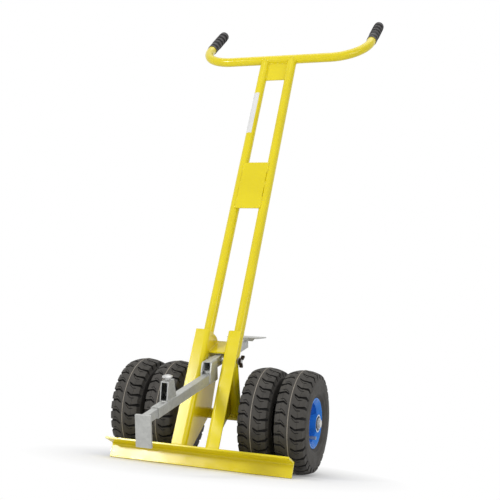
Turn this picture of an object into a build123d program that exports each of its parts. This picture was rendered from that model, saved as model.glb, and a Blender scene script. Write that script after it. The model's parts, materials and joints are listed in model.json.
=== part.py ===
from build123d import *
import os
from math import acos, atan2, ceil, cos, degrees, hypot, pi, radians, sin, tan

# Slab transport trolley, in millimetres, standing on its wheels and the rear edge of its toe.
# The frame is drawn upright, with the axle at the origin, X to the right, Y to the back and the legs along Z.
# The clamp is drawn level, with its pivot at the origin, its arm along -Y and its pedal along +Y.

# Clearances
weld_gap = 0.05
moving_gap = 0.3
running_gap = 0.05
bolt_gap = 0.25
cut_margin = 1.0

# Wheels
tyre_diameter = 260.0
tyre_width = 85.0
tyre_crown = 7.5
tyre_wall = 7.0
tyre_shoulder_drop = 9.5
tyre_shoulder_inset = 4.7
tyre_belly_height = 33.0
bead_width = 10.0
bead_height = 12.0
twin_gap = 9.6
rim_flange_diameter = 126.0
rim_seat_diameter = 104.0
rim_width = 66.0
rim_sheet = 2.5
rim_cone = 9.0
rim_lip_round = 1.1
rim_corner_round = 4.0
hub_length = 81.0
hub_wall = 3.5
bearing_bore = 20.1
bearing_diameter = 37.0
bearing_width = 9.0
bearing_ring = 2.8
bearing_recess = 0.8
bearing_shoulder = 3.0
rim_bolt_diameter = 8.0
rim_bolt_circle = 76.0
rim_bolt_count = 4
rim_bolt_head = 5.3
rim_nut_height = 6.5
rim_bolt_flats = 13.0
tube_wall = 2.0
valve_diameter = 8.5
valve_bore = 3.0
valve_offset = 15.0
valve_bend = 9.0
valve_drop = 14.0
valve_reach = 8.0
valve_angle = 250.0

# Axle
axle_diameter = 20.0
axle_tube_diameter = 26.9
axle_tube_length = 168.0
washer_thickness = 2.0
washer_diameter = 28.0
spacer_diameter = 28.0
ring_thickness = 1.75
ring_depth = 0.8
ring_height = 3.4
axle_end_length = 3.0
axle_end_chamfer = 1.0

# Toe and legs
toe_length = 484.0
toe_shelf = 50.0
toe_flange = 40.0
toe_thickness = 5.0
toe_root_round = 5.0
toe_drop = 120.0
toe_overhang = 5.3
leg_plate = 4.0
leg_spacing = 50.0
leg_flange = 37.5
leg_bend = 10.5
leg_height = 304.5
leg_standoff = 36.9
leg_ear_reach = 45.0
leg_ear_round = 35.0
leg_waist_reach = 70.0
leg_waist_height = 95.0
leg_foot = 39.5
leg_heel_drop = 2.0
leg_lap = 1.5

# Stems, plates and handlebar
tube_diameter = 26.9
tube_thickness = 2.5
stem_reach = 91.8
stem_bend_height = 108.0
stem_bend_radius = 50.0
handle_height = 1078.5
handle_half_width = 261.3
handle_bend_radius = 104.0
handle_rake = 29.3
plate_thickness = 4.0
middle_plate_width = 73.0
middle_plate_height = 148.0
middle_plate_bottom = 556.0
middle_plate_proud = 1.5
top_plate_height = 62.0
grip_offset = 9.0
grip_length = 128.0
grip_diameter = 30.6
grip_rib_height = 0.7
grip_rib_count = 9
grip_rib_pitch = 8.0
grip_rib_width = 3.0
grip_rib_start = 42.0
grip_cap = 4.0
grip_end_round = 8.0

# Clamp pivot and cross plate
pivot_height = 116.0
pivot_bolt_diameter = 10.0
pivot_bush_diameter = 16.0
pivot_head_height = 6.4
pivot_head_flats = 17.0
pivot_thread_end = 7.5
pivot_spacer_diameter = 18.0
pivot_washer_diameter = 20.0
pivot_washer_thickness = 2.0
wing_hub_diameter = 17.0
wing_hub_height = 6.0
wing_span = 32.0
wing_height = 12.0
wing_width = 9.0
wing_thickness = 4.0
wing_end_round = 1.5
cross_plate_thickness = 4.0
cross_plate_length = 72.0
cross_plate_slope = 43.5
cross_plate_ahead = 15.0
cross_plate_rise = 15.5

# Lever and arm
lever_slope = 33.6
bar_width = 20.0
bar_height = 25.0
bar_wall = 2.0
bar_round = 2.5
lever_front = 73.4
lever_back = 195.0
arm_gap = 5.0
packer_length = 31.0
cheek_thickness = 4.0
cheek_front = 83.0
cheek_back = 38.0
outer_arm_back = 45.0
outer_arm_front = 365.0
inner_arm_back = 157.0
inner_arm_front = 417.0
inner_arm_wall = 2.0
inner_arm_round = 1.5
jaw_thickness = 6.0
jaw_width = 37.5
jaw_height = 72.5
jaw_round = 2.0
hole_pitch = 32.0
hole_count = 6
hole_ahead = 48.0

# Foot pedal
pedal_front = 171.5
pedal_rise = 9.8
pedal_width = 90.0
pedal_depth = 82.5
pedal_sheet = 3.0
pedal_tilt = 10.3
pedal_round = 6.0
pedal_flange_bottom = 63.0

# Lock
lock_position = 298.0
lock_width = 19.0
lock_base = 47.5
lock_top = 29.0
lock_height = 43.0
lock_side_wall = 2.5
lock_floor = 3.0
lock_pin_diameter = 8.0
lock_pin_bite = 5.0
lock_collar_diameter = 13.0
lock_collar_height = 3.0
knob_diameter = 23.5
knob_rim = 2.2
knob_height = 5.5
knob_neck = 7.0
knob_bore_depth = 3.0
spring_wire = 1.3
spring_radius = 5.9
spring_turns = 7
spring_end_bend = 2.0
spring_samples = 24

# Places that follow from the sizes above
tyre_radius = tyre_diameter / 2
hub_half = hub_length / 2
wheel_pitch = tyre_width + twin_gap
inner_wheel_x = axle_tube_length / 2 + washer_thickness + moving_gap + hub_half
outer_wheel_x = inner_wheel_x + wheel_pitch
axle_stack_end = outer_wheel_x + hub_half + moving_gap + washer_thickness
axle_half = axle_stack_end + ring_thickness + axle_end_length
axle_tube_radius = axle_tube_diameter / 2
tube_radius = tube_diameter / 2
leg_inner = leg_spacing / 2
leg_outer = leg_inner + leg_plate
leg_front = -stem_reach - leg_standoff
leg_bottom = -toe_drop
leg_top = leg_bottom + leg_height
toe_front = leg_front - toe_overhang
toe_back = toe_front + toe_shelf
stem_x = leg_outer + tube_radius + weld_gap
toe_low = toe_drop + toe_flange
lean = degrees(acos(tyre_radius / hypot(toe_back, toe_low)) - atan2(-toe_back, toe_low))
bar_side = bar_width / 2
bar_half = bar_height / 2
arm_drop = bar_height + arm_gap
arm_top = bar_half - arm_drop
inner_arm_width = bar_width - 2 * bar_wall - 2 * moving_gap
inner_arm_height = bar_height - 2 * bar_wall - 2 * moving_gap
inner_arm_top = inner_arm_height / 2 - arm_drop
bolt_hole = pivot_bolt_diameter / 2 + bolt_gap
stem_outer = stem_x + tube_radius
lock_hole = lock_pin_diameter / 2 + bolt_gap
lock_roof = arm_top + lock_height
grip_end = handle_bend_radius + grip_offset + grip_length


def stand(piece):
    """Leans a piece of the upright frame back until the wheels and the toe both touch the floor."""
    return Pos(0, 0, tyre_radius) * Rot(-lean, 0, 0) * piece


def hang(piece):
    """Puts a piece of the level clamp on its pivot in the upright frame, and leans it with the frame."""
    return stand(Pos(0, -stem_reach, pivot_height) * Rot(lever_slope, 0, 0) * piece)


def plate_along_x(points, start, end):
    """A flat plate with a (y, z) outline, from one X to another."""
    face = make_face(Polyline(*points, close=True))
    return Pos(start, 0, 0) * extrude(Plane.YZ * face, end - start)


def rod_along_x(radius, start, end, y=0.0, z=0.0):
    """A round bar along X."""
    return Pos((start + end) / 2, y, z) * Rot(0, 90, 0) * Cylinder(radius, end - start)


def sleeve_along_x(outer, inner, start, end, y=0.0, z=0.0):
    """A round tube along X."""
    bore = rod_along_x(inner, start - cut_margin, end + cut_margin, y, z)
    return rod_along_x(outer, start, end, y, z) - bore


def block(x, y, z):
    """A box given by its limits on each axis."""
    size = (x[1] - x[0], y[1] - y[0], z[1] - z[0])
    return Pos((x[0] + x[1]) / 2, (y[0] + y[1]) / 2, (z[0] + z[1]) / 2) * Box(*size)


def tube_along(path, radius, wall):
    """A round tube swept along a path."""
    start = Plane(path @ 0, z_dir=path % 0)
    return sweep(start * Circle(radius), path=path) - sweep(start * Circle(radius - wall), path=path)


def box_tube(width, height, wall, corner, back, front, centre):
    """A rectangular tube along Y, with round outer edges."""
    outside = fillet(Rectangle(width, height).vertices(), corner)
    section = outside - Rectangle(width - 2 * wall, height - 2 * wall)
    return Pos(0, -back, centre) * extrude(Plane.XZ * section, front - back)


# Wheels

def make_tyre():
    """A hollow tyre with round walls, a curved crown and two beads that fit the rim's cones."""
    half = tyre_width / 2
    seat = rim_seat_diameter / 2 + weld_gap
    heel = rim_width / 2 - rim_sheet - weld_gap
    toe = heel - bead_width
    belly = rim_flange_diameter / 2 + tyre_belly_height
    bead_top = seat + bead_height
    x, z = half - tyre_shoulder_inset, tyre_radius - tyre_shoulder_drop
    inner_x, inner_z = x - tyre_wall, z - tyre_wall
    inner_belly = half - tyre_wall
    cone_top, cone_start = seat + rim_cone, heel - rim_cone
    outside = [Line((toe, seat), (cone_start, seat)), Line((cone_start, seat), (heel, cone_top)),
               Line((heel, cone_top), (heel, bead_top)),
               ThreePointArc((heel, bead_top), (half, belly), (x, z)),
               ThreePointArc((x, z), (0, tyre_radius), (-x, z)),
               ThreePointArc((-x, z), (-half, belly), (-heel, bead_top)),
               Line((-heel, bead_top), (-heel, cone_top)), Line((-heel, cone_top), (-cone_start, seat)),
               Line((-cone_start, seat), (-toe, seat))]
    inside = [Line((-toe, seat), (-toe, bead_top)),
              ThreePointArc((-toe, bead_top), (-inner_belly, belly), (-inner_x, inner_z)),
              ThreePointArc((-inner_x, inner_z), (0, tyre_radius - tyre_crown), (inner_x, inner_z)),
              ThreePointArc((inner_x, inner_z), (inner_belly, belly), (toe, bead_top)),
              Line((toe, bead_top), (toe, seat))]
    return revolve(make_face(outside + inside), Axis.X)


def make_inner_tube():
    """A round tube inside the tyre, with a valve that comes through the rim and turns outwards."""
    top = tyre_radius - tyre_crown - moving_gap
    bottom = rim_seat_diameter / 2 + moving_gap + bead_width
    middle = (top + bottom) / 2
    radius = (top - bottom) / 2
    inner_radius = radius - tube_wall
    seat = rim_seat_diameter / 2
    path = FilletPolyline((valve_offset, 0, middle), (valve_offset, 0, seat - valve_drop),
                          (rim_width / 2 + valve_reach, 0, seat - valve_drop), radius=valve_bend)
    start = Plane(path @ 0, z_dir=path % 0)
    valve = sweep(start * Circle(valve_diameter / 2), path=path)
    bore = sweep(start * Circle(valve_bore / 2), path=path)
    tube = revolve(Pos(0, middle) * Circle(radius), Axis.X) + Rot(valve_angle - 90, 0, 0) * valve
    hollow = revolve(Pos(0, middle) * Circle(inner_radius), Axis.X) + Rot(valve_angle - 90, 0, 0) * bore
    return tube - hollow


def bolt_places():
    """The rim bolts' (y, z) places, clear of the valve."""
    turn = 2 * pi / rim_bolt_count
    start = radians(valve_angle) + turn / 2
    return [(rim_bolt_circle / 2 * cos(start + i * turn), rim_bolt_circle / 2 * sin(start + i * turn))
            for i in range(rim_bolt_count)]


def make_half_rim():
    """One pressed half of the rim, from the wheel's middle out to +X, with its bearing cup. Its seat turns up
    into the flange over a cone of 45 degrees."""
    seat = rim_seat_diameter / 2
    lip = rim_flange_diameter / 2
    cup = bearing_diameter / 2
    hub = cup + hub_wall
    edge = rim_width / 2
    cup_floor = hub_half - bearing_width - bearing_recess
    stop = cup - bearing_shoulder
    under = seat - rim_sheet
    back = edge - rim_sheet
    mitre = rim_sheet * tan(radians(22.5))
    outline = [(weld_gap, stop), (weld_gap, seat), (back - rim_cone, seat), (back, seat + rim_cone),
               (back, lip), (edge, lip), (edge, seat + rim_cone - mitre), (back - rim_cone + mitre, under),
               (rim_sheet, under), (rim_sheet, hub), (hub_half, hub), (hub_half, cup), (cup_floor, cup),
               (cup_floor, stop)]
    face = make_face(Polyline(*outline, close=True))
    lips = [v for v in face.vertices() if v.Y > lip - cut_margin]
    face = fillet(lips, rim_lip_round)
    corners = [v for v in face.vertices() if abs(v.X - rim_sheet) < weld_gap and v.Y > cup]
    half = revolve(fillet(corners, rim_corner_round), Axis.X)
    for y, z in bolt_places():
        half -= rod_along_x(rim_bolt_diameter / 2 + bolt_gap, -cut_margin, rim_sheet + cut_margin, y, z)
    return half


def valve_hole():
    """The round hole in the rim's seat for the valve."""
    seat = rim_seat_diameter / 2
    hole = Cylinder(valve_diameter / 2 + bolt_gap, rim_sheet + 2 * cut_margin)
    return Rot(valve_angle - 90, 0, 0) * Pos(valve_offset, 0, seat - rim_sheet / 2) * hole


def make_bearings():
    """The two ball bearings, each one ring with a groove between its inner and outer race on both sides."""
    pieces = []
    for side in (-1, 1):
        middle = side * (hub_half - bearing_recess - bearing_width / 2)
        ring = sleeve_along_x(bearing_diameter / 2 - running_gap, bearing_bore / 2,
                              middle - bearing_width / 2, middle + bearing_width / 2)
        for face in (-1, 1):
            edge = middle + face * bearing_width / 2
            ring -= sleeve_along_x(bearing_diameter / 2 - bearing_ring, bearing_bore / 2 + bearing_ring,
                                   edge - bearing_recess, edge + bearing_recess)
        pieces.append(ring)
    return Compound(children=pieces)


def hexagon_along_x(flats, start, end, y=0.0, z=0.0):
    """A hexagonal bolt head or nut along X."""
    across = RegularPolygon(flats / 2, 6, major_radius=False)
    return Pos(start, y, z) * extrude(Plane.YZ * across, end - start)


def make_rim_bolts():
    pieces = []
    for y, z in bolt_places():
        end = rim_sheet + weld_gap
        tip = end + rim_nut_height + rim_sheet
        bolt = rod_along_x(rim_bolt_diameter / 2, -tip, end, y, z)
        bolt += hexagon_along_x(rim_bolt_flats, end, end + rim_bolt_head, y, z)
        bolt += hexagon_along_x(rim_bolt_flats, -end - rim_nut_height, -end, y, z)
        pieces.append(bolt)
    return Compound(children=pieces)


def wheel_pieces():
    """One wheel at the origin, with its axle along X and its valve on the +X side."""
    half = make_half_rim()
    return {"tyre": make_tyre(), "inner_tube": make_inner_tube(), "rim_valve_half": half - valve_hole(),
            "rim_plain_half": mirror(half, Plane.YZ), "bearings": make_bearings(),
            "rim_bolts": make_rim_bolts()}


# Axle

def make_axle_shaft():
    shaft = rod_along_x(axle_diameter / 2, -axle_half, axle_half)
    shaft = chamfer(shaft.edges().filter_by(GeomType.CIRCLE), axle_end_chamfer)
    groove = axle_diameter / 2 - ring_depth
    for side in (-1, 1):
        ends = sorted((side * axle_stack_end, side * (axle_stack_end + ring_thickness)))
        shaft -= sleeve_along_x(axle_diameter, groove, *ends)
    return shaft


def axle_group(outer, inner, start, end):
    """The same ring at both ends of the axle."""
    right = sleeve_along_x(outer, inner, start, end)
    return Compound(children=[right, mirror(right, Plane.YZ)])


def make_thrust_washers():
    bore = axle_diameter / 2 + running_gap
    inside = axle_tube_length / 2
    outside = axle_stack_end - washer_thickness
    rings = [sleeve_along_x(washer_diameter / 2, bore, side * near + min(0, side) * washer_thickness,
                            side * near + max(0, side) * washer_thickness)
             for near in (inside, outside) for side in (-1, 1)]
    return Compound(children=rings)


def make_twin_spacers():
    start = inner_wheel_x + hub_half + moving_gap
    end = outer_wheel_x - hub_half - moving_gap
    return axle_group(spacer_diameter / 2, axle_diameter / 2 + running_gap, start, end)


def make_retaining_rings():
    inner = axle_diameter / 2 - ring_depth
    return axle_group(inner + ring_height, inner, axle_stack_end, axle_stack_end + ring_thickness)


# Frame

def make_toe_angle():
    shelf_bottom = leg_bottom - toe_thickness
    outline = [(toe_front, leg_bottom), (toe_back, leg_bottom), (toe_back, leg_bottom - toe_flange),
               (toe_back - toe_thickness, leg_bottom - toe_flange), (toe_back - toe_thickness, shelf_bottom),
               (toe_front, shelf_bottom)]
    toe = plate_along_x(outline, -toe_length / 2, toe_length / 2)
    inside = Vector(0, toe_back - toe_thickness, shelf_bottom)
    root = [e for e in toe.edges().filter_by(Axis.X) if (e.center() - inside).length < weld_gap]
    return fillet(root, toe_root_round)


def make_leg(side):
    """A folded plate: a wide front flange turned outwards and a shaped side that reaches the axle tube."""
    rear = -axle_tube_radius + leg_lap
    ear = leg_front + leg_standoff + leg_ear_reach
    waist = leg_front + leg_standoff + leg_waist_reach
    fold = Polyline((leg_inner, leg_front), (leg_inner + leg_flange, leg_front),
                    (leg_inner + leg_flange, leg_front + leg_plate), (leg_outer, leg_front + leg_plate),
                    (leg_outer, rear), (leg_inner, rear), close=True)
    section = make_face(fold)
    outer_bend = section.vertices().sort_by(Axis.X)[:2].sort_by(Axis.Y)[0]
    section = fillet(outer_bend, leg_bend)
    inner_bend = [v for v in section.vertices()
                  if abs(v.X - leg_outer) < weld_gap and abs(v.Y - leg_front - leg_plate) < weld_gap]
    section = fillet(inner_bend, leg_bend - leg_plate)
    folded = Pos(0, 0, leg_bottom) * extrude(section, leg_height)
    outline = [(leg_front - cut_margin, leg_bottom), (leg_front + leg_foot, leg_bottom),
               (rear, -leg_heel_drop), (rear, axle_tube_radius), (waist, leg_waist_height),
               (ear, leg_top - leg_ear_round), (ear, leg_top), (leg_front - cut_margin, leg_top)]
    face = make_face(Polyline(*outline, close=True))
    corner = [v for v in face.vertices() if abs(v.X - ear) < weld_gap and abs(v.Y - leg_top) < weld_gap]
    face = fillet(corner, leg_ear_round - weld_gap)
    shape = extrude(Plane.YZ * face, leg_inner + leg_flange + cut_margin)
    leg = folded & shape
    leg -= rod_along_x(axle_tube_radius + weld_gap, 0, leg_inner + leg_flange)
    leg -= rod_along_x(bolt_hole, 0, leg_outer + cut_margin, -stem_reach, pivot_height)
    return leg if side > 0 else mirror(leg, Plane.YZ)


def make_cross_plate():
    slope = radians(cross_plate_slope)
    low_y = -stem_reach - cross_plate_ahead
    low_z = pivot_height + cross_plate_rise
    along = (cross_plate_length * cos(slope), cross_plate_length * sin(slope))
    under = (cross_plate_thickness * sin(slope), -cross_plate_thickness * cos(slope))
    high_y, high_z = low_y + along[0], low_z + along[1]
    outline = [(low_y, low_z), (high_y, high_z), (high_y + under[0], high_z + under[1]),
               (low_y + under[0], low_z + under[1])]
    half = leg_inner - weld_gap
    return plate_along_x(outline, -half, half)


def make_axle_tube():
    half = axle_tube_length / 2
    return sleeve_along_x(axle_tube_radius, axle_diameter / 2 + running_gap, -half, half)


def stem_path(x):
    """From the handlebar straight down past the pivot, then bent back to the axle."""
    return FilletPolyline((x, -stem_reach, handle_height), (x, -stem_reach, stem_bend_height), (x, 0, 0),
                          radius=stem_bend_radius)


def make_stem(side):
    stem = tube_along(stem_path(side * stem_x), tube_radius, tube_thickness)
    reach = stem_outer + cut_margin
    stem -= rod_along_x(axle_tube_radius + weld_gap, -reach, reach)
    stem -= rod_along_x(tube_radius + weld_gap, -reach, reach, -stem_reach, handle_height)
    return stem - rod_along_x(bolt_hole, -reach, reach, -stem_reach, pivot_height)


def stem_outside():
    """Both stems' straight outside, with room for the welds, for cutting what fits between them."""
    rod = Cylinder(tube_radius + weld_gap, handle_height)
    return [Pos(side * stem_x, -stem_reach, handle_height / 2) * rod for side in (-1, 1)]


def make_middle_plate():
    half = middle_plate_width / 2
    front = -stem_reach - tube_radius - middle_plate_proud
    plate = block((-half, half), (front, front + plate_thickness),
                  (middle_plate_bottom, middle_plate_bottom + middle_plate_height))
    return plate - stem_outside()


def make_top_plate():
    top = handle_height
    plate = block((-stem_x, stem_x), (-stem_reach - plate_thickness / 2, -stem_reach + plate_thickness / 2),
                  (top - tube_radius - top_plate_height, top))
    plate -= rod_along_x(tube_radius + weld_gap, -stem_outer, stem_outer, -stem_reach, handle_height)
    return plate - stem_outside()


def grip_direction():
    """The way both grips point, raked back from the stems."""
    return Vector(0, sin(radians(handle_rake)), cos(radians(handle_rake)))


def make_handlebar():
    end = grip_direction() * (grip_end - grip_cap)
    left = Vector(-handle_half_width, -stem_reach, handle_height)
    right = Vector(handle_half_width, -stem_reach, handle_height)
    path = FilletPolyline(left + end, left, right, right + end, radius=handle_bend_radius)
    return tube_along(path, tube_radius, tube_thickness)


def make_grip(side):
    """A closed hand grip with a row of raised ribs, drawn along Z and put on the end of the handlebar."""
    outer = grip_diameter / 2
    bore = tube_radius + running_gap
    grip = Cylinder(outer, grip_length, align=(Align.CENTER, Align.CENTER, Align.MIN))
    grip = fillet(grip.edges().sort_by(Axis.Z)[-1], grip_end_round)
    for i in range(grip_rib_count):
        start = grip_rib_start + i * grip_rib_pitch
        rib = Cylinder(outer + grip_rib_height, grip_rib_width, align=(Align.CENTER, Align.CENTER, Align.MIN))
        grip += Pos(0, 0, start) * rib
    room = grip_length - grip_cap + weld_gap
    grip -= Cylinder(bore, room, align=(Align.CENTER, Align.CENTER, Align.MIN))
    corner = Vector(side * handle_half_width, -stem_reach, handle_height)
    start = corner + grip_direction() * (grip_end - grip_length)
    return Plane(start, x_dir=(1, 0, 0), z_dir=grip_direction()) * grip


# Pivot

def make_pivot_bolt():
    seat = stem_outer + weld_gap + pivot_washer_thickness
    bolt = rod_along_x(pivot_bolt_diameter / 2, -seat, seat + pivot_thread_end)
    bolt += hexagon_along_x(pivot_head_flats, -seat - pivot_head_height, -seat)
    return Pos(0, -stem_reach, pivot_height) * bolt


def pivot_pair(outer, inner, start, end):
    """The same ring on both sides of the pivot."""
    rings = [sleeve_along_x(outer, inner, start, end), sleeve_along_x(outer, inner, -end, -start)]
    return Pos(0, -stem_reach, pivot_height) * Compound(children=rings)


def make_pivot_washers():
    start = stem_outer + weld_gap
    return pivot_pair(pivot_washer_diameter / 2, bolt_hole, start, start + pivot_washer_thickness)


def make_pivot_spacers():
    return pivot_pair(pivot_spacer_diameter / 2, bolt_hole, bar_side + moving_gap, leg_inner - weld_gap)


def make_wing_nut():
    """A round hub with two wings that flare away from the frame."""
    start = stem_outer + weld_gap + pivot_washer_thickness + moving_gap
    hub = rod_along_x(wing_hub_diameter / 2, start, start + wing_hub_height)
    root = wing_hub_diameter / 2 - wing_thickness / 2
    outline = [(0, root - wing_thickness), (wing_width, root - wing_thickness),
               (wing_height, wing_span / 2 - wing_thickness), (wing_height, wing_span / 2),
               (wing_height - wing_width, wing_span / 2)]
    wing = make_face(Polyline(*outline, close=True))
    wing = fillet(wing.vertices().sort_by(Axis.Y)[-2:], wing_end_round)
    wing = Pos(start, 0, 0) * extrude(Plane.XZ * wing, wing_thickness / 2, both=True)
    nut = hub + wing + Rot(180, 0, 0) * wing
    end = start + wing_height
    nut -= rod_along_x(pivot_bolt_diameter / 2 + running_gap, start - cut_margin, end + cut_margin)
    return Pos(0, -stem_reach, pivot_height) * nut


# Clamp

def make_lever_tube():
    lever = box_tube(bar_width, bar_height, bar_wall, bar_round, -lever_back, lever_front, 0)
    return lever - rod_along_x(pivot_bush_diameter / 2 + weld_gap, -bar_width, bar_width)


def make_pivot_bush():
    return sleeve_along_x(pivot_bush_diameter / 2, pivot_bolt_diameter / 2 + running_gap, -bar_side, bar_side)


def make_arm_packer():
    """The flat bar that fills the gap between the lever and the arm."""
    half = bar_side - bar_round
    bottom = arm_top + weld_gap
    top = -bar_half - weld_gap
    return block((-half, half), (-lever_front, packer_length - lever_front), (bottom, top))


def make_cheek(side):
    """A flat plate on the side of both tubes."""
    high = bar_half - bar_round
    low = -arm_drop - high
    points = [(-cheek_front, low), (-cheek_back, low), (-cheek_back, high), (-lever_front, high),
              (-cheek_front, -bar_half)]
    start = bar_side + weld_gap
    cheek = plate_along_x(points, start, start + cheek_thickness)
    return cheek if side > 0 else mirror(cheek, Plane.YZ)


def make_outer_arm():
    arm = box_tube(bar_width, bar_height, bar_wall, bar_round, outer_arm_back, outer_arm_front, -arm_drop)
    return arm - Pos(0, -lock_position, arm_top) * Cylinder(lock_hole, 2 * (bar_wall + cut_margin))


def make_inner_arm():
    """The sliding arm, with a row of lock holes in its top that the pin stands halfway between."""
    arm = box_tube(inner_arm_width, inner_arm_height, inner_arm_wall, inner_arm_round, inner_arm_back,
                   inner_arm_front, -arm_drop)
    for i in range(hole_count):
        forward = lock_position + hole_ahead - i * hole_pitch
        arm -= Pos(0, -forward, inner_arm_top) * Cylinder(lock_hole, 2 * (inner_arm_wall + cut_margin))
    return arm


def make_jaw_plate():
    start = inner_arm_front + weld_gap
    top = arm_top
    jaw = block((-jaw_width / 2, jaw_width / 2), (-start - jaw_thickness, -start), (top - jaw_height, top))
    return fillet(jaw.edges().filter_by(Axis.Y), jaw_round)


def make_foot_pedal():
    """A tread plate that slopes down over the lever's rear end, with its front edge folded down onto it."""
    bottom = bar_half + weld_gap
    fold = bottom + pedal_rise
    tread = Box(pedal_width, pedal_depth, pedal_sheet, align=(Align.CENTER, Align.MIN, Align.MAX))
    tread = fillet(tread.edges().filter_by(Axis.Z), pedal_round)
    tread = Pos(0, pedal_front, fold) * Rot(-pedal_tilt, 0, 0) * tread
    half = pedal_width / 2 - pedal_round
    low = pedal_flange_bottom / 2
    top = fold - pedal_sheet / 2
    flange = make_face(Polyline((-low, bottom), (low, bottom), (half, top), (-half, top), close=True))
    return tread + Pos(0, pedal_front + pedal_sheet, 0) * extrude(Plane.XZ * flange, pedal_sheet)


# Lock

def make_lock_housing():
    """A small tapered box on the arm, open to the front and the back."""
    bottom = arm_top + weld_gap
    half_base = lock_base / 2
    half_top = lock_top / 2
    outline = [(-half_base - lock_position, bottom), (half_base - lock_position, bottom),
               (half_top - lock_position, lock_roof), (-half_top - lock_position, lock_roof)]
    housing = plate_along_x(outline, -lock_width / 2, lock_width / 2)
    inside = lock_width / 2 - lock_side_wall
    housing -= block((-inside, inside), (-lock_position - lock_base, -lock_position + lock_base),
                     (bottom + lock_floor, lock_roof - lock_floor))
    return housing - Pos(0, -lock_position, (bottom + lock_roof) / 2) * Cylinder(lock_hole, 2 * lock_height)


def lock_pin_places():
    """The heights of the pin's tip, its collar's top and its upper end."""
    tip = inner_arm_top + moving_gap
    collar = arm_top + lock_floor + lock_pin_bite + lock_collar_height
    return tip, collar, lock_roof + knob_neck + knob_bore_depth


def make_lock_pin():
    tip, collar, top = lock_pin_places()
    pin = Pos(0, 0, (tip + top) / 2) * Cylinder(lock_pin_diameter / 2, top - tip)
    ring = Cylinder(lock_collar_diameter / 2, lock_collar_height)
    return Pos(0, -lock_position, 0) * (pin + Pos(0, 0, collar - lock_collar_height / 2) * ring)


def make_lock_knob():
    """A low knob with a domed top, on the upper end of the pin."""
    radius = knob_diameter / 2
    dome = knob_height - knob_rim
    ball = (radius ** 2 + dome ** 2) / (2 * dome)
    knob = Cylinder(radius, knob_height, align=(Align.CENTER, Align.CENTER, Align.MIN))
    knob &= Pos(0, 0, knob_height - ball) * Sphere(ball)
    knob -= Cylinder(lock_pin_diameter / 2 + running_gap, 2 * (knob_bore_depth + weld_gap))
    return Pos(0, -lock_position, lock_roof + knob_neck) * knob


def spring_path(bottom, top):
    """The spring's centreline: turns as pairs of tangent arcs, with ends that turn square to their seats."""
    lift = 2 * spring_end_bend + spring_wire
    start = bottom + lift
    pitch = (top - bottom - 2 * lift) / spring_turns
    steps = 4 * spring_turns

    def point(i):
        angle = i * pi / 2
        return Vector(spring_radius * cos(angle), spring_radius * sin(angle), start + pitch * i / 4)

    def heading(i):
        angle = i * pi / 2
        return Vector(-spring_radius * sin(angle), spring_radius * cos(angle), pitch / (2 * pi)).normalized()

    edges = []
    up = Vector(0, 0, 1)
    foot = point(0) - heading(0) * spring_end_bend - up * spring_end_bend
    edges.append(Line(Vector(foot.X, foot.Y, bottom), foot))
    edges.append(TangentArc(foot, point(0), tangent=up))
    for i in range(steps):
        first, last = point(i), point(i + 1)
        into, out = heading(i), heading(i + 1)
        chord = last - first
        along = chord.dot(into + out)
        bend = 2 * (1 - into.dot(out))
        reach = ((along ** 2 + bend * chord.dot(chord)) ** 0.5 - along) / bend
        middle = (first + last + (into - out) * reach) * 0.5
        edges.append(TangentArc(first, middle, tangent=into))
        edges.append(TangentArc(middle, last, tangent=(last - out * reach - middle)))
    end = point(steps)
    head = end + heading(steps) * spring_end_bend + up * spring_end_bend
    edges.append(TangentArc(end, head, tangent=heading(steps)))
    edges.append(Line(head, Vector(head.X, head.Y, top)))
    return Wire(edges)


def spring_gap(path):
    """The least gap between one stretch of the spring's wire and another."""
    count = spring_samples * spring_turns
    points = [path @ (i / count) for i in range(count + 1)]
    apart = ceil(spring_samples / 2)
    near = min((points[i] - points[j]).length for i in range(count) for j in range(i + apart, count + 1))
    return near - spring_wire


def make_lock_spring():
    _, collar, _ = lock_pin_places()
    path = spring_path(collar + weld_gap, lock_roof - lock_floor - weld_gap)
    print("least gap of the spring to itself", round(spring_gap(path), 2), "mm")
    wire = sweep(Plane(path @ 0, z_dir=path % 0) * Circle(spring_wire / 2), path=path)
    return Pos(0, -lock_position, 0) * wire


# Assembly

def frame_nodes():
    pieces = {"toe_angle": make_toe_angle(), "left_leg": make_leg(-1), "right_leg": make_leg(1),
              "cross_plate": make_cross_plate(), "axle_tube": make_axle_tube(),
              "left_stem": make_stem(-1), "right_stem": make_stem(1),
              "middle_plate": make_middle_plate(), "top_plate": make_top_plate(),
              "handlebar": make_handlebar(), "left_grip": make_grip(-1), "right_grip": make_grip(1),
              "axle_shaft": make_axle_shaft(),
              "thrust_washers": make_thrust_washers(), "twin_spacers": make_twin_spacers(),
              "retaining_rings": make_retaining_rings(), "pivot_bolt": make_pivot_bolt(),
              "pivot_washers": make_pivot_washers(), "pivot_spacers": make_pivot_spacers(),
              "wing_nut": make_wing_nut()}
    return {name: stand(piece) for name, piece in pieces.items()}


def clamp_nodes():
    pieces = {"lever_tube": make_lever_tube(), "pivot_bush": make_pivot_bush(),
              "arm_packer": make_arm_packer(), "left_cheek": make_cheek(-1), "right_cheek": make_cheek(1),
              "outer_arm": make_outer_arm(),
              "inner_arm": make_inner_arm(), "jaw_plate": make_jaw_plate(), "foot_pedal": make_foot_pedal(),
              "lock_housing": make_lock_housing(), "lock_pin": make_lock_pin(), "lock_knob": make_lock_knob(),
              "lock_spring": make_lock_spring()}
    return {name: hang(piece) for name, piece in pieces.items()}


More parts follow.
